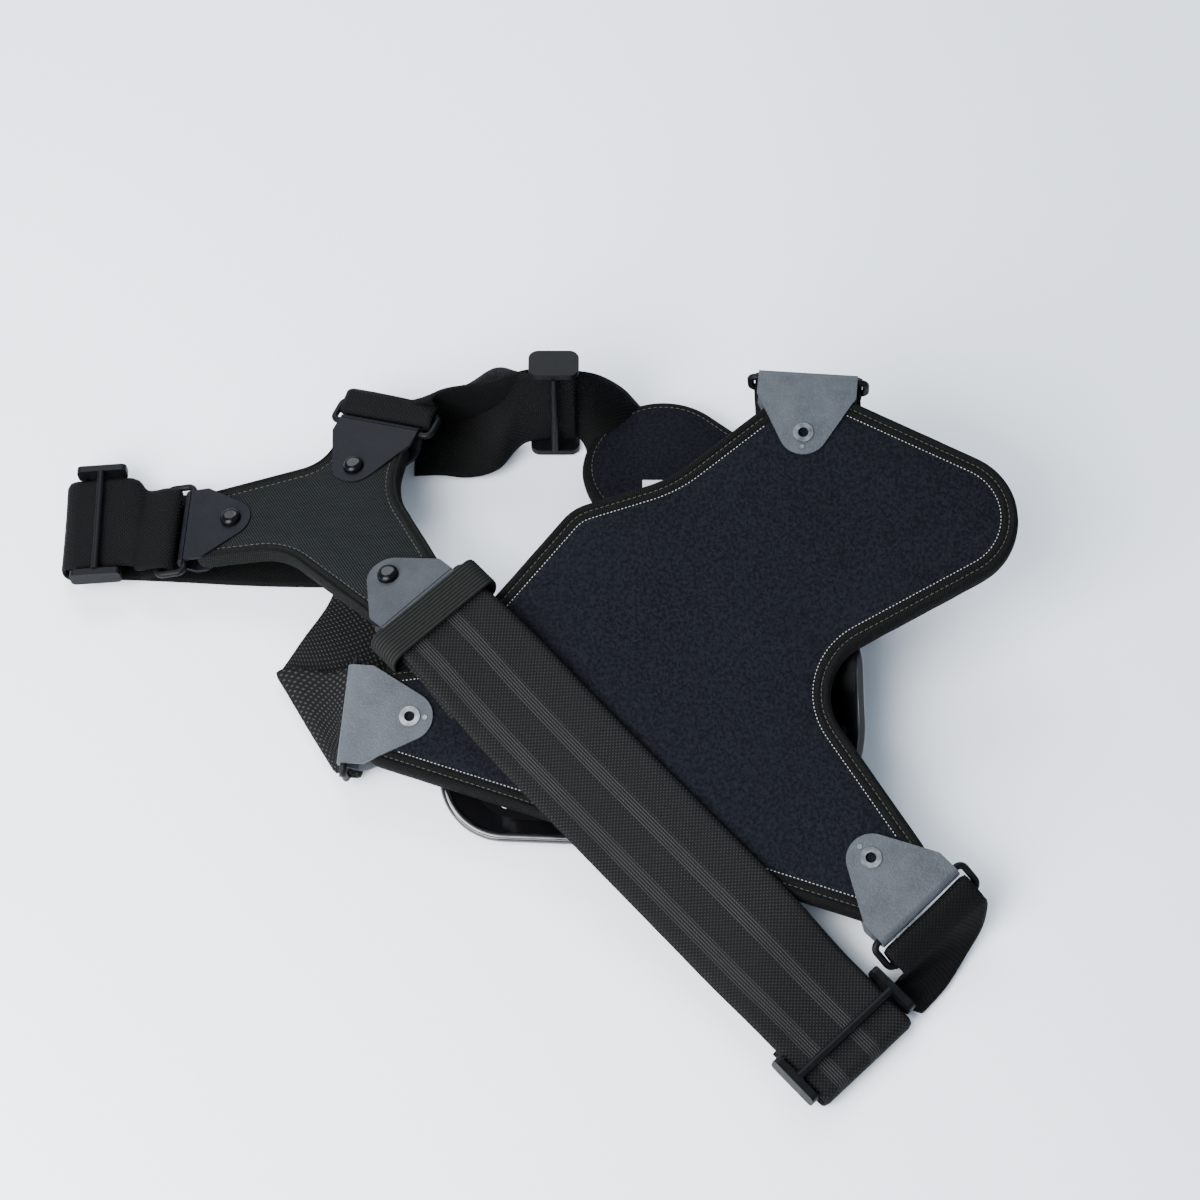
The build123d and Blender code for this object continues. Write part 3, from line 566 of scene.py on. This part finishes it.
def strap(name, edges, material, thickness=2.0, body="harness", ripple=0.35, seed=0, step=2.2, closed=False,
          ribs=0, columns=22, crown=0.0):
    """A strap through pairs of edge places, in frame metres, with rounded selvedges."""
    spans = []
    for (l0, r0), (l1, r1) in zip(edges, edges[1:]):
        length = max((l1 - l0).length, (r1 - r0).length) / MM
        spans.append(max(2, int(length / step)))
    lefts = curve_through([e[0] for e in edges], spans)
    rights = curve_through([e[1] for e in edges], spans)
    if closed:
        lefts, rights = lefts[:-1], rights[:-1]
    rows = len(lefts)
    verts, faces, flat = [], [], []
    along = 0.0
    half = thickness / 2
    for i in range(rows):
        if i:
            along += ((lefts[i] + rights[i]) / 2 - (lefts[i - 1] + rights[i - 1]) / 2).length
        width = (rights[i] - lefts[i]).length / MM
        ahead, behind = (i + 1) % rows if closed else min(i + 1, rows - 1), i - 1 if closed or i else 0
        middle_run = (lefts[ahead] + rights[ahead]) - (lefts[behind] + rights[behind])
        for side in (1, -1):
            for c in range(columns + 1):
                share = c / columns if side == 1 else 1 - c / columns
                middle = lefts[i].lerp(rights[i], share)
                run = lefts[ahead].lerp(rights[ahead], share) - lefts[behind].lerp(rights[behind], share)
                if run.length < 1e-7:
                    run = middle_run
                normal = run.cross(rights[i] - lefts[i]).normalized()
                from_edge = min(share, 1 - share) * width
                rounding = min(1.0, from_edge / 1.2)
                tall = half * (0.25 + 0.75 * (1 - (1 - rounding) ** 2) ** 0.5)
                if ribs:
                    tall *= 0.84 + 0.16 * cos(2 * pi * ribs * share)
                wave = ripple * noise.noise(Vector((along / MM * 0.028 + seed, share * 1.7, seed * 1.3)))
                wave += crown * (1 - (2 * share - 1) ** 2)
                verts.append(middle + normal * ((side * tall + wave) * MM))
                flat.append(((share - 0.5) * width * MM, along))
    size = 2 * (columns + 1)
    for i in range(rows if closed else rows - 1):
        j = (i + 1) % rows
        for k in range(size):
            a, b = k, (k + 1) % size
            faces.append((i * size + a, i * size + b, j * size + b, j * size + a))
    if not closed:
        faces.append(tuple(range(size))[::-1])
        faces.append(tuple((rows - 1) * size + k for k in range(size)))
    return piece(name, verts, faces, material, body, flat)


def pair(centre, across, width):
    """The two edges of a strap whose middle is centre, in layout millimetres."""
    half = Vector(across).normalized() * (width / 2)
    middle = Vector(centre)
    return (at(*(middle - half)), at(*(middle + half)))


def loop_pairs(bar, across, away, width, radius=3.4, tail=4.0, slack=2.6):
    """Edge pairs of a strap that turns round a bar: in under it and out over it, with
    some slack on the far side of the bar."""
    across = across.normalized()
    away = (away - across * away.dot(across)).normalized()
    up = across.cross(away).normalized()
    if up.z < 0:
        up = -up
    places = [bar + away * tail - up * radius]
    for degrees in (0, 45, 90, 135, 180):
        angle = radians(degrees)
        places.append(bar - up * (radius * cos(angle)) - away * ((radius + slack) * sin(angle)))
    places.append(bar + away * tail + up * radius)
    return [pair(p, across, width) for p in places]


def soften(node, width, segments=2, angle=35):
    """Small rounded edges on a CAD piece whose shape is right."""
    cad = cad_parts[node]
    bevel = cad.modifiers.new("soft_edges", "BEVEL")
    bevel.width = width * MM
    bevel.segments = segments
    bevel.limit_method = "ANGLE"
    bevel.angle_limit = radians(angle)


def make_shading():
    """A node group that shades a mesh smooth, apart from edges at or over an angle."""
    group = bpy.data.node_groups.new("shade_by_angle", "GeometryNodeTree")
    group.interface.new_socket("Geometry", in_out="INPUT", socket_type="NodeSocketGeometry")
    group.interface.new_socket("Angle", in_out="INPUT", socket_type="NodeSocketFloat")
    group.interface.new_socket("Geometry", in_out="OUTPUT", socket_type="NodeSocketGeometry")
    source = group.nodes.new("NodeGroupInput")
    result = group.nodes.new("NodeGroupOutput")
    bend = group.nodes.new("GeometryNodeInputMeshEdgeAngle")
    sharp = group.nodes.new("FunctionNodeCompare")
    sharp.data_type = "FLOAT"
    sharp.operation = "GREATER_EQUAL"
    shade = group.nodes.new("GeometryNodeSetMeshNormal")
    shade.mode = "SHARPNESS"
    shade.inputs["Remove Custom"].default_value = True
    shade.inputs["Face Sharpness"].default_value = False
    group.links.new(source.outputs["Geometry"], shade.inputs["Mesh"])
    group.links.new(bend.outputs["Unsigned Angle"], sharp.inputs[0])
    group.links.new(source.outputs["Angle"], sharp.inputs[1])
    group.links.new(sharp.outputs["Result"], shade.inputs["Edge Sharpness"])
    group.links.new(shade.outputs["Mesh"], result.inputs["Geometry"])
    return group


SHADING = make_shading()
ANGLE_SOCKET = next(item.identifier for item in SHADING.interface.items_tree if item.name == "Angle")


def finish_node(node, paint, smooth_angle=32):
    """A carried-over CAD piece in its real finish. Its own mesh stays as it was loaded."""
    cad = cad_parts[node]
    for slot in cad.material_slots:
        slot.link = "OBJECT"
        slot.material = paint.material
    shading = cad.modifiers.new("shade_by_angle", "NODES")
    shading.node_group = SHADING
    shading[ANGLE_SOCKET] = radians(smooth_angle)


# ---- frames and outlines -------------------------------------------------------------
panel = tilted(at(40, -61, 42), 13, -5)
yoke = tilted(at(-135, 35, 28), -7, -11.4)
pad = tilted(at(47, 56, 2.5), 0, 0, -40)

panel_outline = rounded_outline([
    ((54, 139), 34), ((-8, 91), 60), ((-53, 78), 22), ((-114, 6), 18), ((-145, 3), 13),
    ((-149, -39), 13), ((79, -118), 12), ((106, -92), 12), ((51, -5), 28), ((187, 67), 33),
])
yoke_outline = rounded_outline([
    ((-58, 18), 6), ((-58, -24), 6), ((-15, -25), 30), ((35, -76), 6), ((65, -49), 6),
    ((38, 5), 40), ((44, 34), 6), ((9, 48), 6), ((2, 28), 18),
], 1.5)
pad_outline = rounded_outline([
    ((59, 39), 36), ((-59, 39), 36), ((-59, -39), 36), ((59, -39), 36),
])

# ---- panel -----------------------------------------------------------------------------


def tape_section(thick, reach):
    """Inset and height pairs round the folded tape, from inside top to inside bottom:
    a sewn band, a groove and a rounded outer roll."""
    return [
        (reach + 0.6, -1.4),
        (reach, -0.35),
        (reach - 0.9, 0.22),
        (reach - 2.2, 0.2),
        (reach - 3.0, -0.45),
        (reach - 3.5, -0.5),
        (reach - 4.1, 0.25),
        (reach * 0.3, 0.75),
        (0.9, 0.1),
        (0.2, -1.3),
        (-0.1, -thick * 0.4),
        (-0.1, -thick * 0.6),
        (0.1, -thick * 0.8),
        (0.9, -thick + 0.5),
        (reach * 0.4, -thick - 0.1),
        (reach, -thick),
        (reach + 0.6, -thick + 1.0),
    ]


def panel_rise(depth, spot):
    edge = min(1.0, max(0.0, (depth - 7.0) / 9.0))
    swell = -0.35 + 0.95 * (1 - (1 - edge) ** 2)
    return swell + 0.28 * noise.noise(Vector((spot.x * 0.022, spot.y * 0.022, 1)))


def panel_under(depth, spot):
    return -PANEL_THICK + 0.12 * noise.noise(Vector((spot.x * 0.04, spot.y * 0.04, 7)))


panel_tape = edge_tape("panel_edge_tape", panel, panel_outline, tape_section(PANEL_THICK, 7.4), EDGE_TAPE)
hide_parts("panel_binding")
panel_face = inner_sheet("panel_neoprene", panel, panel_outline, 7.0, panel_rise, NEOPRENE)
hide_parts("panel_liner")
panel_back = inner_sheet("panel_lining", panel, panel_outline, 7.0, panel_under, LINING, 6, flip=True)
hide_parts("panel_backing", "panel_core")
# Discs under the three tabs, as x, y and radius, where no stitch shows.
TAB_DISCS = [(54, 118, 17), (-135, -20, 17), (86, -98, 17)]
stitches("panel_pale_stitches", panel, panel_outline, 7.9, 0.02, 1.75, 0.95, 0.19, PALE_THREAD,
         skip=TAB_DISCS)
stitches("panel_tape_stitches", panel, panel_outline, 4.2, -0.3, 2.6, 1.9, 0.2, DARK_THREAD,
         skip=TAB_DISCS)

# ---- yoke ------------------------------------------------------------------------------


def yoke_rise(depth, spot):
    edge = min(1.0, max(0.0, (depth - 5.0) / 10.0))
    swell = -0.5 + 1.15 * (1 - (1 - edge) ** 2)
    return swell + 0.35 * noise.noise(Vector((spot.x * 0.05, spot.y * 0.05, 4)))


def yoke_under(depth, spot):
    return -YOKE_THICK + 0.15 * noise.noise(Vector((spot.x * 0.05, spot.y * 0.05, 9)))


yoke_tape = edge_tape("yoke_edge_tape", yoke, yoke_outline, tape_section(YOKE_THICK, 5.6), YOKE_TAPE)
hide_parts("yoke_binding")
yoke_cloth = inner_sheet("yoke_ribbed_cloth", yoke, yoke_outline, 5.2, yoke_rise, TWILL, 3.5)
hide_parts("yoke_face", "yoke_core")
yoke_back = inner_sheet("yoke_lining", yoke, yoke_outline, 5.2, yoke_under, LINING, 5, flip=True)
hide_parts("yoke_liner")
stitches("yoke_dark_stitches", yoke, yoke_outline, 5.9, -0.3, 2.8, 2.0, 0.22, DARK_THREAD)

# ---- shoulder pad -------------------------------------------------------------------------


def pad_rise(depth, spot):
    edge = min(1.0, max(0.0, (depth - 4.0) / 24.0))
    swell = PAD_THICK - 2.4 + 2.1 * (1 - (1 - edge) ** 2)
    return swell + 0.3 * noise.noise(Vector((spot.x * 0.03, spot.y * 0.03, 12)))


pad_raise = Matrix.Translation(Vector((0, 0, PAD_THICK * MM)))
pad_edge = edge_tape("pad_edge", pad_raise @ pad, pad_outline,
                     [(5.4, -2.6), (3.8, -2.0), (2.0, -2.6), (0.6, -4.0), (0, -6), (0.5, -9), (2.2, -11.4),
                      (5.4, -12)], EDGE_TAPE)
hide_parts("pad_core", "pad_backing")
pad_cloth = inner_sheet("pad_neoprene", pad, pad_outline, 4.2, pad_rise, NEOPRENE, 4)
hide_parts("pad_face")
stitches("pad_stitches", pad, pad_outline, 4.6, PAD_THICK - 2.0, 2.8, 1.9, 0.22, DARK_THREAD)

# ---- straps ----------------------------------------------------------------------------------


def ring_bar(plane, x, y, turn, reach, drop):
    """Far bar of a ring: middle, direction and way out, in layout millimetres."""
    tab = frame_on(plane, x, y, turn)
    bar_height = TAB_THICK / 2 - (WIRE_RADIUS + WRAP_GAP + TAB_THICK / 2)
    hang = Matrix.Translation(Vector((0, reach, bar_height)) * MM) @ Matrix.Rotation(-radians(drop), 4, "X")
    ring = tab @ hang
    middle = ring @ Vector((0, RING_BARS * MM, 0))
    turn3 = ring.to_3x3()
    return middle / MM - SHIFT, turn3 @ Vector((1, 0, 0)), turn3 @ Vector((0, 1, 0))


way = Vector((cos(radians(FRONT_HEADING)), sin(radians(FRONT_HEADING)), 0))
side = Vector((-sin(radians(FRONT_HEADING)), cos(radians(FRONT_HEADING)), 0))
front_bar, front_across, front_out = ring_bar(yoke, 39, -50, -137, 21, 12)
front_zero = Vector((front_bar.x, front_bar.y, 0))


def on_front(run, height, slope, width):
    centre = front_zero + way * run + Vector((0, 0, height))
    return pair(centre, side + Vector((0, 0, slope)), width)


front = [on_front(38, front_bar.z - 8.2, 0.2, FRONT_WIDTH), on_front(22, front_bar.z - 5.0, 0.12, 51)]
front += loop_pairs(front_bar, -front_across, front_out, WEBBING_WIDTH)
front += [
    on_front(22, front_bar.z + 0.2, 0.12, 51),
    on_front(48, front_bar.z - 6.6, 0.21, FRONT_WIDTH),
    on_front(75, 33.4, 0.224, FRONT_WIDTH),
    on_front(110, 28.8, 0.224, FRONT_WIDTH),
    on_front(150, 24.2, 0.224, FRONT_WIDTH),
    on_front(180, 20.9, 0.224, FRONT_WIDTH),
    on_front(204, 17.9, 0.2, FRONT_WIDTH),
    on_front(229, 13.8, 0.01, FRONT_WIDTH),
    on_front(250, 11.4, 0.0, FRONT_WIDTH),
]
for degrees in (90, 45, 0, -45, -90):
    angle = radians(degrees)
    front.append(on_front(268 + 4 * cos(angle), 5.4 + 4 * sin(angle), 0, FRONT_WIDTH))
front.append(on_front(252, LYING, 0.0, 51))
front.append(on_front(240, LYING, 0.0, WEBBING_WIDTH))
front_strap = strap("front_webbing", front, FRONT_WEBBING, seed=1)
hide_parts("front_strap")

left_bar, left_across, left_out = ring_bar(yoke, -41, -2, 90, 22, 0)
left_side = Vector((-0.05, 1, 0))
left_way = Vector((-1, -0.05, -0.047))
left_mid = Vector((-240, 35.5, 12.4))
left = loop_pairs(left_bar, left_across, left_out, WEBBING_WIDTH, tail=9, slack=3.6)
left += [
    pair(left_mid - left_way * 15, left_side, WEBBING_WIDTH),
    pair(left_mid + left_way * 9, left_side, WEBBING_WIDTH),
]
for degrees in (90, 135, 180, 225, 270):
    angle = radians(degrees)
    left.append(pair((-251 + 5.4 * cos(angle), 35, 6.6 + 5.4 * sin(angle)), left_side, WEBBING_WIDTH))
left += [
    pair((-235, 35.5, LYING), left_side, WEBBING_WIDTH),
    pair((-200, 34, 1.6), (0, 1, 0), WEBBING_WIDTH),
    pair((-160, 32, LYING), (0, 1, 0), WEBBING_WIDTH),
    pair((-112, 31, LYING), (0, 1, 0), WEBBING_WIDTH),
]
left_strap = strap("left_webbing", left, WEBBING, seed=2)
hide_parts("left_strap")

cross_bar, cross_across = ring_bar(panel, -126, -21, 85, 28, 88)[:2]
cross = [
    (at(-122, 12, 12), at(-98, 14, 5)),
    (at(-128, -6, 7), at(-97, -12, 3.4)),
    (at(-139, -24, 4.4), at(-99, -52, 3.0)),
    (at(-148, -40, 3.6), at(-114, -88, 3.0)),
    (at(-150.5, -43, 4.8), at(-119.5, -95.5, 4.2)),
    (at(-146, -41.5, 6.8), at(-118, -95.5, 6.0)),
    (at(-134, -43, 8.0), at(-117.5, -95.5, 6.6)),
    (at(-124, -46, 10.5), at(-116.5, -96, 7.6)),
]
cross_over = loop_pairs(cross_bar, -cross_across, Vector((-1, 0.1, 0.1)), WEBBING_WIDTH)[::-1]
cross += cross_over
cross_strap = strap("cross_webbing", cross, CROSS_WEBBING, seed=3, ripple=0.25)
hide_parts("cross_strap")

link_bar, link_across, link_out = ring_bar(panel, 78, -90, -137, 28, 30)
link = loop_pairs(link_bar, -link_across, link_out + Vector((0, 0, -0.2)), 49, slack=4.4)
link += [
    (at(128, -199, 8), at(168.5, -166, 17)),
    (at(125.5, -200.5, 4), at(167, -173, 8)),
    (at(123, -201.5, 2.4), at(160, -184, 3.4)),
    (at(122, -202.5, 1.6), at(150, -199, 2)),
    (at(122, -204, 1.4), at(139, -211, 1.6)),
]
link_strap = strap("link_webbing", link, WEBBING, seed=4, ripple=0.5)
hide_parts("link_strap")

upper_bar, upper_across, upper_out = ring_bar(yoke, 18, 21, -23, 28, 0)
upper = [
    (at(-12, 95, 57), at(-12, 94.8, 7)),
    (at(-35, 94.5, 56), at(-42, 96, 6)),
    (at(-50, 92, 52), at(-62, 99, 4.5)),
    (at(-63, 91, 49.5), at(-80, 101, 4)),
    (at(-73, 90.5, 46.5), at(-98, 102, 5)),
    (at(-79, 90, 42), at(-112, 102, 9)),
    (at(-80.5, 89.5, 37.5), at(-121, 103, 17)),
]
upper_loop = loop_pairs(upper_bar, upper_across, upper_out, WEBBING_WIDTH, slack=4.4)
over_first = [(second, first) for first, second in upper_loop]
upper += over_first[::-1]
upper_strap = strap("upper_webbing", upper, WEBBING, seed=5, ripple=0.5)
upper_return = [
    pair((-12, 89.6, 32), (0, 0.02, 1), WEBBING_WIDTH),
    pair((-36, 89.6, 32), (0, 0.1, 0.99), WEBBING_WIDTH),
    pair((-50, 90.5, 22), (0, 0.75, 0.66), WEBBING_WIDTH),
    pair((-64, 92.5, 10), (0, 0.95, 0.3), 49),
    pair((-78, 93.5, 4.5), (0, 1, 0.04), 47),
    pair((-91, 93, 3), (0, 1, 0), 46),
]
strap("upper_webbing_return", upper_return, WEBBING, seed=9, ripple=0.5)
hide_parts("upper_strap")

top_bar, top_across = ring_bar(panel, 54, 110.6, -6, 28, 88)[:2]
shoulder = [
    (at(-13, 92.6, 7), at(-13, 93.6, 57)),
    (at(-8.5, 89, 4.5), at(-3, 97, 50)),
    (at(-6, 83, 2), at(5, 102, 38)),
    (at(-3.5, 76, 1.4), at(12, 106, 25)),
    (at(0, 68, LYING), at(18, 107, 13)),
    (at(3, 60, LYING), at(25, 105, 3)),
    (at(10, 54, LYING), at(33, 98, LYING)),
    (at(22, 46, LYING), at(49, 88, LYING)),
    pair((60, 50, LYING), (0.643, 0.766, 0), WEBBING_WIDTH),
    pair((80, 26, LYING), (0.7, 0.7, 0), WEBBING_WIDTH),
    pair((93, 4, LYING), (0.9, 0.4, 0), WEBBING_WIDTH),
    pair((104, -12, 3.5), (1, 0.05, 0), WEBBING_WIDTH),
    pair((106, -6, 12), (1, -0.05, 0), WEBBING_WIDTH),
    pair((104, 14, 23), (1, 0, 0), WEBBING_WIDTH),
    pair((101, 40, 36), (1, 0, 0), WEBBING_WIDTH),
]
shoulder += loop_pairs(top_bar, top_across, Vector((0, -0.6, -0.8)), WEBBING_WIDTH, slack=3.4)[::-1]
shoulder_strap = strap("shoulder_webbing", shoulder, WEBBING, seed=6, ripple=0.5)
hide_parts("shoulder_strap")

# Elastic keeper: a closed ribbed band round the front strap at its ring.
keeper_middle = front_zero - way * 2.5 + Vector((0, 0, front_bar.z - 0.2))
keeper_way = Vector((way.x, way.y, -0.05)).normalized()
keeper_x = (-front_across - keeper_way * (-front_across).dot(keeper_way)).normalized()
keeper_z = keeper_way.cross(keeper_x).normalized()
if keeper_z.z < 0:
    keeper_z = -keeper_z
KEEPER_WIDE, KEEPER_TALL, KEEPER_CORNER = 30.4, 7.2, 5.2
keeper_path = rounded_outline([
    ((KEEPER_WIDE, KEEPER_TALL), KEEPER_CORNER), ((-KEEPER_WIDE, KEEPER_TALL), KEEPER_CORNER),
    ((-KEEPER_WIDE, -KEEPER_TALL), KEEPER_CORNER), ((KEEPER_WIDE, -KEEPER_TALL), KEEPER_CORNER),
], 3)
keeper = []
for spot in keeper_path + keeper_path[:1]:
    middle = keeper_middle + keeper_x * spot.x + keeper_z * spot.y
    keeper.append((at(*(middle - keeper_way * 8)), at(*(middle + keeper_way * 8))))
keeper_band = strap(
    "keeper_elastic", keeper, ELASTIC, 1.5, "keeper", 0.2, 8, closed=True, ribs=10, columns=60
)
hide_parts("keeper_loop")

# ---- shell lip ----------------------------------------------------------------------------------
rim_outline = rounded_outline([
    ((-113, -8), 20), ((-113, -73), 30), ((77, -84), 55), ((77, 34), 32), ((-85, 34), 30),
])
edge_tape("shell_lip", panel, rim_outline,
          [(3.0, -12.4), (1.4, -12.1), (0.0, -12.4), (-1.0, -13.2), (-1.2, -14.2), (-0.5, -15.2),
           (0.6, -15.6), (2.6, -15.2)], SHELL)

# ---- carried-over pieces -------------------------------------------------------------------------
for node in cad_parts:
    if node.startswith(("panel_tab_", "yoke_tab_", "snap_flap_")):
        # The lower tab gets the lighter leatherette copy: painted light where the light falls more on it.
        dark_ones = DARK_LEATHERETTE if not node.endswith("lower") else LIT_LEATHERETTE
        finish_node(node, LEATHERETTE if node.startswith("panel") else dark_ones)
        soften(node, 0.3)
    elif node.startswith(("panel_ring_", "yoke_ring_")):
        finish_node(node, BLACK_STEEL, 50)
    elif node.endswith("_slider"):
        finish_node(node, BLACK_STEEL, 40)
        soften(node, 0.7, 3)
    elif node.startswith("snap_cap_"):
        finish_node(node, CAP, 50)
    elif node in ("hollow_rivets", "tab_pins"):
        finish_node(node, PLATED)
        soften(node, 0.22, 3)
    elif node.startswith("snap_") or node in ("tee_nuts", "shell_screws", "shell_rivets"):
        finish_node(node, PLATED)
    elif node == "carry_shell":
        finish_node(node, SHELL, 28)
        soften(node, 0.8, 3, 40)
    elif node == "pad_label":
        finish_node(node, LABEL)
    else:
        finish_node(node, FOAM)

# ---- surface, light and camera ----------------------------------------------------------------------
surface_paint = Paint("pale_surface", None, (0.85, 0.90, 0.96), 0.3, Specular_IOR_Level=0.3)
cloud = surface_paint.noise(surface_paint.place(), 1.4, 2)
surface_paint.colour(cloud, (0.84, 0.90, 0.985), (0.89, 0.94, 0.995))
surface_mesh = bpy.data.meshes.new("surface")
SIDE_REACH, BACK_REACH, SINK = 6, 9, -0.0004
surface_corners = [
    (-SIDE_REACH, -SIDE_REACH, SINK), (SIDE_REACH, -SIDE_REACH, SINK),
    (SIDE_REACH, BACK_REACH, SINK), (-SIDE_REACH, BACK_REACH, SINK),
]
surface_mesh.from_pydata(surface_corners, [], [(0, 1, 2, 3)])
surface_mesh.materials.append(surface_paint.material)
surface = bpy.data.objects.new("surface", surface_mesh)
bpy.context.scene.collection.objects.link(surface)


def soft_light(name, place, target, size, power, colour):
    lamp = bpy.data.lights.new(name, "AREA")
    lamp.shape = "RECTANGLE"
    lamp.size, lamp.size_y = size
    lamp.energy = power
    lamp.color = colour
    made = bpy.data.objects.new(name, lamp)
    made.location = place
    made.rotation_euler = (Vector(target) - Vector(place)).to_track_quat("-Z", "Y").to_euler()
    bpy.context.scene.collection.objects.link(made)


soft_light("key_panel", (-0.9, -0.5, 1.5), (0, 0, 0), (1.1, 1.1), 31, (1.0, 1.0, 0.99))
soft_light("back_panel", (-0.35, 1.5, 1.35), (0, 0, 0), (1.3, 0.8), 38, (0.93, 0.97, 1.0))
soft_light("front_left", (-0.65, -0.72, 0.62), (-0.4, -0.45, 0), (1.0, 1.0), 44, (1.0, 1.0, 1.0))
world = bpy.data.worlds.new("studio")
bpy.context.scene.world = world
world.use_nodes = True
world.node_tree.nodes["Background"].inputs[0].default_value = (0.76, 0.87, 1.0, 1)
world.node_tree.nodes["Background"].inputs[1].default_value = 0.66

camera_data = bpy.data.cameras.new("camera")
camera_data.lens = 75
camera_data.sensor_width = 36
camera = bpy.data.objects.new("camera", camera_data)
CAMERA_DISTANCE = 1.19
elevation = radians(58)
camera.location = at(0, 0, 0) + Vector((0, -cos(elevation), sin(elevation))) * CAMERA_DISTANCE
camera.rotation_euler = (pi / 2 - elevation, 0, 0)
bpy.context.scene.collection.objects.link(camera)
bpy.context.scene.camera = camera
